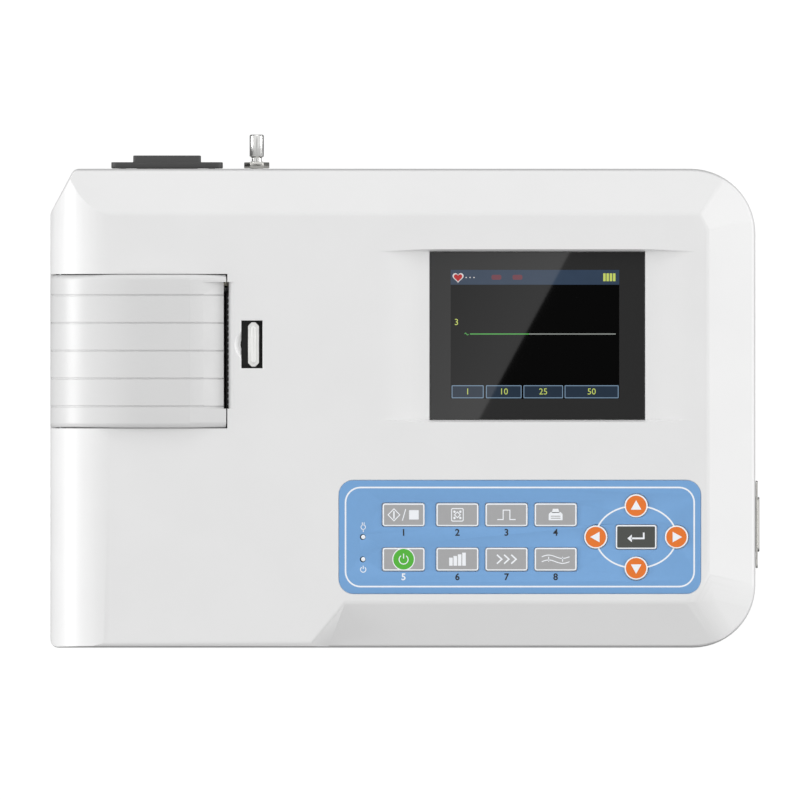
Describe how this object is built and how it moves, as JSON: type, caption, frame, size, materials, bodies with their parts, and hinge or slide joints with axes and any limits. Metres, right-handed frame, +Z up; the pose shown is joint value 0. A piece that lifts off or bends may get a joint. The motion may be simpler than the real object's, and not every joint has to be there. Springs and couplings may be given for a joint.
{
  "type": "electrocardiograph recorder",
  "caption": "Flat bench-top ECG recorder with a hinged paper door and thermal printer, a screen, a keypad, a mains inlet, an earth stud and a patient socket.",
  "frame": {"origin": "on the bench, under the middle of the whole object's box", "axes": "+X to the right along the front, +Y from the front to the back, +Z up"},
  "size_m": [0.317, 0.2294, 0.077],
  "materials": {
    "case_white": "fine spark texture, warm white",
    "door_white": "fine spark texture, warm white",
    "lever_white": "smooth white",
    "latch_black": "moulded black",
    "well_charcoal": "moulded charcoal",
    "inlet_black": "moulded black",
    "insulator_black": "moulded black",
    "lens_glass": "smoked clear sheet over the screen",
    "screen_black": "liquid crystal module",
    "panel_blue": "printed polyester film, fine texture",
    "key_grey": "printed polyester film, fine texture",
    "key_orange": "printed polyester film, fine texture",
    "key_dark": "printed polyester film, fine texture",
    "light_lens": "clear moulded lens",
    "steel": "zinc plated, satin",
    "screw_steel": "zinc plated, bright",
    "nickel": "nickel plated",
    "aluminium": "milled",
    "head_ceramic": "glazed ceramic strip",
    "gear_acetal": "natural acetal",
    "rubber": "ground rubber",
    "foot_rubber": "moulded rubber",
    "paper": "thermal chart paper, wound",
    "card": "grey-brown card tube",
    "board_green": "printed circuit board with solder mask",
    "battery_wrap": "heat-shrunk wrap"
  },
  "bodies": {
    "recorder": {"top_case": "case_white", "bottom_case": "case_white", "hinge_rod": "steel", "idler_axle": "steel", "print_motor": "steel", "thermal_head": "head_ceramic", "head_block": "aluminium", "head_spring_front": "steel", "head_spring_back": "steel", "tear_bar": "steel", "printer_frame": "steel", "paper_well": "well_charcoal", "screen_lens": "lens_glass", "screen_module": "screen_black", "keypad_panel": "panel_blue", "keypad_board": "board_green", "mains_light": "light_lens", "battery_light": "light_lens", "main_board": "board_green", "power_board": "board_green", "battery_pack": "battery_wrap", "mains_inlet": "inlet_black", "inlet_screw_left": "screw_steel", "inlet_screw_right": "screw_steel", "earth_stud": "nickel", "earth_nut": "nickel", "socket_shell": "nickel", "socket_insulator": "insulator_black", "foot_front_left": "foot_rubber", "foot_front_right": "foot_rubber", "foot_back_right": "foot_rubber", "foot_back_left": "foot_rubber", "case_screw_front_left": "screw_steel", "case_screw_front_right": "screw_steel", "case_screw_back_right": "screw_steel", "case_screw_back_left": "screw_steel"},
    "door": {"paper_door": "door_white"},
    "platen": {"platen_roller": "rubber", "platen_shaft": "steel", "platen_gear": "gear_acetal"},
    "idler": {"idler_gear": "gear_acetal"},
    "pinion": {"motor_pinion": "gear_acetal"},
    "roll": {"paper_roll": "paper", "paper_core": "card", "roll_spindle": "well_charcoal"},
    "latch": {"latch_plate": "latch_black", "latch_lever": "lever_white"},
    "start_button": {"key_start": "key_grey"},
    "mode_button": {"key_mode": "key_grey"},
    "pulse_button": {"key_pulse": "key_grey"},
    "print_button": {"key_print": "key_grey"},
    "power_button": {"key_power": "key_grey"},
    "gain_button": {"key_gain": "key_grey"},
    "speed_button": {"key_speed": "key_grey"},
    "filter_button": {"key_filter": "key_grey"},
    "up_button": {"key_up": "key_orange"},
    "down_button": {"key_down": "key_orange"},
    "left_button": {"key_left": "key_orange"},
    "right_button": {"key_right": "key_orange"},
    "set_button": {"key_set": "key_dark"}
  },
  "joints": [
    {"name": "door_hinge", "type": "hinge", "parent": "recorder", "child": "door", "pos_m": [-0.153, 0.01775, 0.0438], "axis": [0, -1, 0], "range_deg": [0, 90]},
    {"name": "latch_slide", "type": "slide", "parent": "recorder", "child": "latch", "axis": [1, 0, 0], "range_m": [0, 0.0013], "stiffness_N_per_m": 500, "springref_m": -0.002},
    {"name": "platen_spin", "type": "hinge", "parent": "door", "child": "platen", "pos_m": [-0.085, 0.01775, 0.063], "axis": [0, 1, 0], "continuous": true},
    {"name": "idler_spin", "type": "hinge", "parent": "recorder", "child": "idler", "pos_m": [-0.0813, 0.04825, 0.04991], "axis": [0, 1, 0], "continuous": true},
    {"name": "pinion_spin", "type": "hinge", "parent": "recorder", "child": "pinion", "pos_m": [-0.07997, 0.04825, 0.03718], "axis": [0, 1, 0], "continuous": true},
    {"name": "roll_spin", "type": "hinge", "parent": "recorder", "child": "roll", "pos_m": [-0.1185, 0.01775, 0.046], "axis": [0, 1, 0], "continuous": true},
    {"name": "start_press", "type": "slide", "parent": "recorder", "child": "start_button", "axis": [0, 0, -1], "range_m": [0, 0.0005], "stiffness_N_per_m": 1000, "springref_m": -0.0005},
    {"name": "mode_press", "type": "slide", "parent": "recorder", "child": "mode_button", "axis": [0, 0, -1], "range_m": [0, 0.0005], "stiffness_N_per_m": 1000, "springref_m": -0.0005},
    {"name": "pulse_press", "type": "slide", "parent": "recorder", "child": "pulse_button", "axis": [0, 0, -1], "range_m": [0, 0.0005], "stiffness_N_per_m": 1000, "springref_m": -0.0005},
    {"name": "print_press", "type": "slide", "parent": "recorder", "child": "print_button", "axis": [0, 0, -1], "range_m": [0, 0.0005], "stiffness_N_per_m": 1000, "springref_m": -0.0005},
    {"name": "power_press", "type": "slide", "parent": "recorder", "child": "power_button", "axis": [0, 0, -1], "range_m": [0, 0.0005], "stiffness_N_per_m": 1000, "springref_m": -0.0005},
    {"name": "gain_press", "type": "slide", "parent": "recorder", "child": "gain_button", "axis": [0, 0, -1], "range_m": [0, 0.0005], "stiffness_N_per_m": 1000, "springref_m": -0.0005},
    {"name": "speed_press", "type": "slide", "parent": "recorder", "child": "speed_button", "axis": [0, 0, -1], "range_m": [0, 0.0005], "stiffness_N_per_m": 1000, "springref_m": -0.0005},
    {"name": "filter_press", "type": "slide", "parent": "recorder", "child": "filter_button", "axis": [0, 0, -1], "range_m": [0, 0.0005], "stiffness_N_per_m": 1000, "springref_m": -0.0005},
    {"name": "up_press", "type": "slide", "parent": "recorder", "child": "up_button", "axis": [0, 0, -1], "range_m": [0, 0.0005], "stiffness_N_per_m": 1000, "springref_m": -0.0005},
    {"name": "down_press", "type": "slide", "parent": "recorder", "child": "down_button", "axis": [0, 0, -1], "range_m": [0, 0.0005], "stiffness_N_per_m": 1000, "springref_m": -0.0005},
    {"name": "left_press", "type": "slide", "parent": "recorder", "child": "left_button", "axis": [0, 0, -1], "range_m": [0, 0.0005], "stiffness_N_per_m": 1000, "springref_m": -0.0005},
    {"name": "right_press", "type": "slide", "parent": "recorder", "child": "right_button", "axis": [0, 0, -1], "range_m": [0, 0.0005], "stiffness_N_per_m": 1000, "springref_m": -0.0005},
    {"name": "set_press", "type": "slide", "parent": "recorder", "child": "set_button", "axis": [0, 0, -1], "range_m": [0, 0.0005], "stiffness_N_per_m": 1000, "springref_m": -0.0005}
  ],
  "couplings": [
    {"joint": "idler_spin", "follows": "platen_spin", "ratio": -0.7},
    {"joint": "pinion_spin", "follows": "platen_spin", "ratio": 1.1667}
  ]
}
